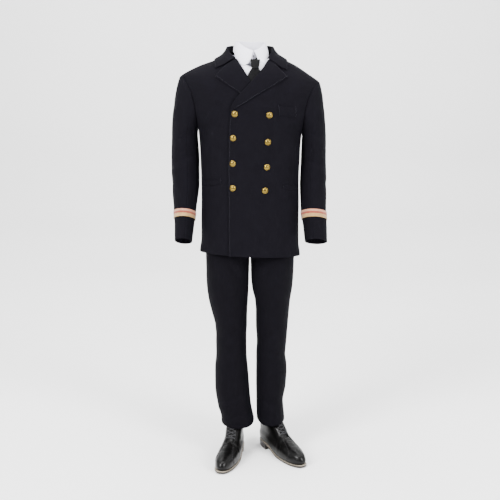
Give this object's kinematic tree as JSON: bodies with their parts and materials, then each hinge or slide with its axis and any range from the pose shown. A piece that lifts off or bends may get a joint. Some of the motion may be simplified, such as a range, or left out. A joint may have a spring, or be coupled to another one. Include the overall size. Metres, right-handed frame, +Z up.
{
  "type": "officer uniform costume",
  "caption": "Double-breasted dark uniform jacket with gilt buttons and cuff lace, worn over a white shirt and black tie with matching trousers and black lace-up ankle boots.",
  "frame": {"origin": "the point on the wearer's shoulder line, at the middle of the neck's base, where the wearer's shoulders carry the costume, 1.52 m above the floor that the boots stand on", "axes": "+Z up, -Y to the wearer's front, +X to the wearer's left"},
  "size_m": [0.5936, 0.3853, 1.6001],
  "materials": {
    "coat_wool": "matte, close fine nap",
    "trouser_wool": "matte, close fine nap",
    "shirt_cotton": "matte plain weave",
    "tie_silk": "soft sheen",
    "braid_gold": "metal thread, soft shine",
    "braid_red": "matte",
    "button_gilt": "polished gilt",
    "boot_leather": "polished black",
    "sole_leather": "satin"
  },
  "bodies": {
    "root": {"boot_heel_left": "sole_leather", "boot_heel_right": "sole_leather", "boot_lace_left": "tie_silk", "boot_lace_right": "tie_silk", "boot_quarters_left": "boot_leather", "boot_quarters_right": "boot_leather", "boot_sole_left": "sole_leather", "boot_sole_right": "sole_leather", "boot_tongue_left": "boot_leather", "boot_tongue_right": "boot_leather", "boot_vamp_left": "boot_leather", "boot_vamp_right": "boot_leather", "breast_pocket_welt": "coat_wool", "button_a1": "button_gilt", "button_a2": "button_gilt", "button_a3": "button_gilt", "button_a4": "button_gilt", "button_b1": "button_gilt", "button_b2": "button_gilt", "button_b3": "button_gilt", "button_b4": "button_gilt", "cuff_lace_gold_lower_left": "braid_gold", "cuff_lace_gold_lower_right": "braid_gold", "cuff_lace_gold_upper_left": "braid_gold", "cuff_lace_gold_upper_right": "braid_gold", "cuff_lace_red_left": "braid_red", "cuff_lace_red_right": "braid_red", "fly": "trouser_wool", "hip_pocket_welt_left": "coat_wool", "hip_pocket_welt_right": "coat_wool", "jacket_back_left": "coat_wool", "jacket_back_right": "coat_wool", "jacket_collar": "coat_wool", "jacket_collar_stand": "coat_wool", "jacket_front_left": "coat_wool", "jacket_front_right": "coat_wool", "jacket_lapel_left": "coat_wool", "jacket_lapel_right": "coat_wool", "jacket_sleeve_top_left": "coat_wool", "jacket_sleeve_top_right": "coat_wool", "jacket_sleeve_under_left": "coat_wool", "jacket_sleeve_under_right": "coat_wool", "shirt_back": "shirt_cotton", "shirt_collar": "shirt_cotton", "shirt_collar_stand": "shirt_cotton", "shirt_front_left": "shirt_cotton", "shirt_front_right": "shirt_cotton", "shirt_sleeve_left": "shirt_cotton", "shirt_sleeve_right": "shirt_cotton", "tie_band": "tie_silk", "tie_blade": "tie_silk", "tie_knot": "tie_silk", "trouser_back_left": "trouser_wool", "trouser_back_right": "trouser_wool", "trouser_front_left": "trouser_wool", "trouser_front_right": "trouser_wool", "waistband": "trouser_wool"}
  },
  "joints": []
}
